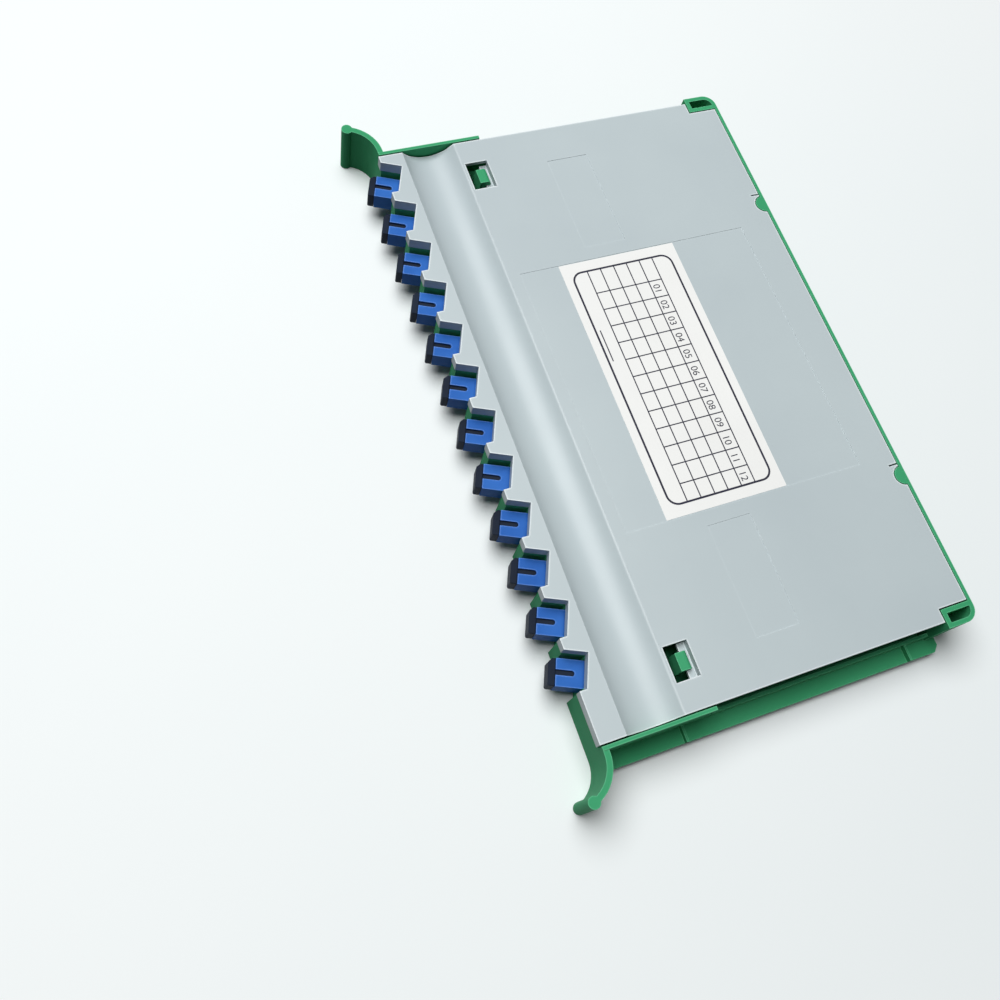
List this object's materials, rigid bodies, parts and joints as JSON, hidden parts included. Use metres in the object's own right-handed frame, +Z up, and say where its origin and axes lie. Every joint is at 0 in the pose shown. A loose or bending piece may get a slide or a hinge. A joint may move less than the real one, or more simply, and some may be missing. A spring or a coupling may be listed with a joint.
{
  "type": "fibre splice tray",
  "caption": "Flat fibre splice tray with a slanted row of capped ports along its front, curved fibre horns, side rails and a hinged cover with a long groove.",
  "frame": {"origin": "middle of the tray's box, on the plane of its underside", "axes": "+X along the row of ports, to the right when facing them; -Y to the front, where the ports are; +Z up, out of the cover"},
  "size_m": [0.3672, 0.215, 0.028],
  "materials": {
    "green_plastic": "satin moulded",
    "grey_plastic": "satin moulded",
    "label_paper": "matt paper",
    "blue_plastic": "satin moulded",
    "insert_plastic": "natural moulded",
    "sleeve_ceramic": "polished ceramic",
    "cap_plastic": "matt moulded",
    "holder_plastic": "matt moulded"
  },
  "bodies": {
    "tray": {"tray_base": "green_plastic", "adapter_housing_01": "blue_plastic", "adapter_housing_02": "blue_plastic", "adapter_housing_03": "blue_plastic", "adapter_housing_04": "blue_plastic", "adapter_housing_05": "blue_plastic", "adapter_housing_06": "blue_plastic", "adapter_housing_07": "blue_plastic", "adapter_housing_08": "blue_plastic", "adapter_housing_09": "blue_plastic", "adapter_housing_10": "blue_plastic", "adapter_housing_11": "blue_plastic", "adapter_housing_12": "blue_plastic", "latch_insert_01": "insert_plastic", "latch_insert_02": "insert_plastic", "latch_insert_03": "insert_plastic", "latch_insert_04": "insert_plastic", "latch_insert_05": "insert_plastic", "latch_insert_06": "insert_plastic", "latch_insert_07": "insert_plastic", "latch_insert_08": "insert_plastic", "latch_insert_09": "insert_plastic", "latch_insert_10": "insert_plastic", "latch_insert_11": "insert_plastic", "latch_insert_12": "insert_plastic", "alignment_sleeve_01": "sleeve_ceramic", "alignment_sleeve_02": "sleeve_ceramic", "alignment_sleeve_03": "sleeve_ceramic", "alignment_sleeve_04": "sleeve_ceramic", "alignment_sleeve_05": "sleeve_ceramic", "alignment_sleeve_06": "sleeve_ceramic", "alignment_sleeve_07": "sleeve_ceramic", "alignment_sleeve_08": "sleeve_ceramic", "alignment_sleeve_09": "sleeve_ceramic", "alignment_sleeve_10": "sleeve_ceramic", "alignment_sleeve_11": "sleeve_ceramic", "alignment_sleeve_12": "sleeve_ceramic", "splice_holder_left": "holder_plastic", "splice_holder_right": "holder_plastic"},
    "cover": {"cover": "grey_plastic", "label": "label_paper"},
    "dust_cap_01": {"dust_cap_01": "cap_plastic"},
    "dust_cap_02": {"dust_cap_02": "cap_plastic"},
    "dust_cap_03": {"dust_cap_03": "cap_plastic"},
    "dust_cap_04": {"dust_cap_04": "cap_plastic"},
    "dust_cap_05": {"dust_cap_05": "cap_plastic"},
    "dust_cap_06": {"dust_cap_06": "cap_plastic"},
    "dust_cap_07": {"dust_cap_07": "cap_plastic"},
    "dust_cap_08": {"dust_cap_08": "cap_plastic"},
    "dust_cap_09": {"dust_cap_09": "cap_plastic"},
    "dust_cap_10": {"dust_cap_10": "cap_plastic"},
    "dust_cap_11": {"dust_cap_11": "cap_plastic"},
    "dust_cap_12": {"dust_cap_12": "cap_plastic"}
  },
  "joints": [
    {"name": "cover_hinge", "type": "hinge", "parent": "tray", "child": "cover", "pos_m": [0, 0.10106, 0.028], "axis": [-1, 0, 0], "range_deg": [0, 80]},
    {"name": "cap_slide_01", "type": "slide", "parent": "tray", "child": "dust_cap_01", "axis": [-0.3987, -0.9171, 0], "range_m": [0, 0.02]},
    {"name": "cap_slide_02", "type": "slide", "parent": "tray", "child": "dust_cap_02", "axis": [-0.3987, -0.9171, 0], "range_m": [0, 0.02]},
    {"name": "cap_slide_03", "type": "slide", "parent": "tray", "child": "dust_cap_03", "axis": [-0.3987, -0.9171, 0], "range_m": [0, 0.02]},
    {"name": "cap_slide_04", "type": "slide", "parent": "tray", "child": "dust_cap_04", "axis": [-0.3987, -0.9171, 0], "range_m": [0, 0.02]},
    {"name": "cap_slide_05", "type": "slide", "parent": "tray", "child": "dust_cap_05", "axis": [-0.3987, -0.9171, 0], "range_m": [0, 0.02]},
    {"name": "cap_slide_06", "type": "slide", "parent": "tray", "child": "dust_cap_06", "axis": [-0.3987, -0.9171, 0], "range_m": [0, 0.02]},
    {"name": "cap_slide_07", "type": "slide", "parent": "tray", "child": "dust_cap_07", "axis": [-0.3987, -0.9171, 0], "range_m": [0, 0.02]},
    {"name": "cap_slide_08", "type": "slide", "parent": "tray", "child": "dust_cap_08", "axis": [-0.3987, -0.9171, 0], "range_m": [0, 0.02]},
    {"name": "cap_slide_09", "type": "slide", "parent": "tray", "child": "dust_cap_09", "axis": [-0.3987, -0.9171, 0], "range_m": [0, 0.02]},
    {"name": "cap_slide_10", "type": "slide", "parent": "tray", "child": "dust_cap_10", "axis": [-0.3987, -0.9171, 0], "range_m": [0, 0.02]},
    {"name": "cap_slide_11", "type": "slide", "parent": "tray", "child": "dust_cap_11", "axis": [-0.3987, -0.9171, 0], "range_m": [0, 0.02]},
    {"name": "cap_slide_12", "type": "slide", "parent": "tray", "child": "dust_cap_12", "axis": [-0.3987, -0.9171, 0], "range_m": [0, 0.02]}
  ]
}
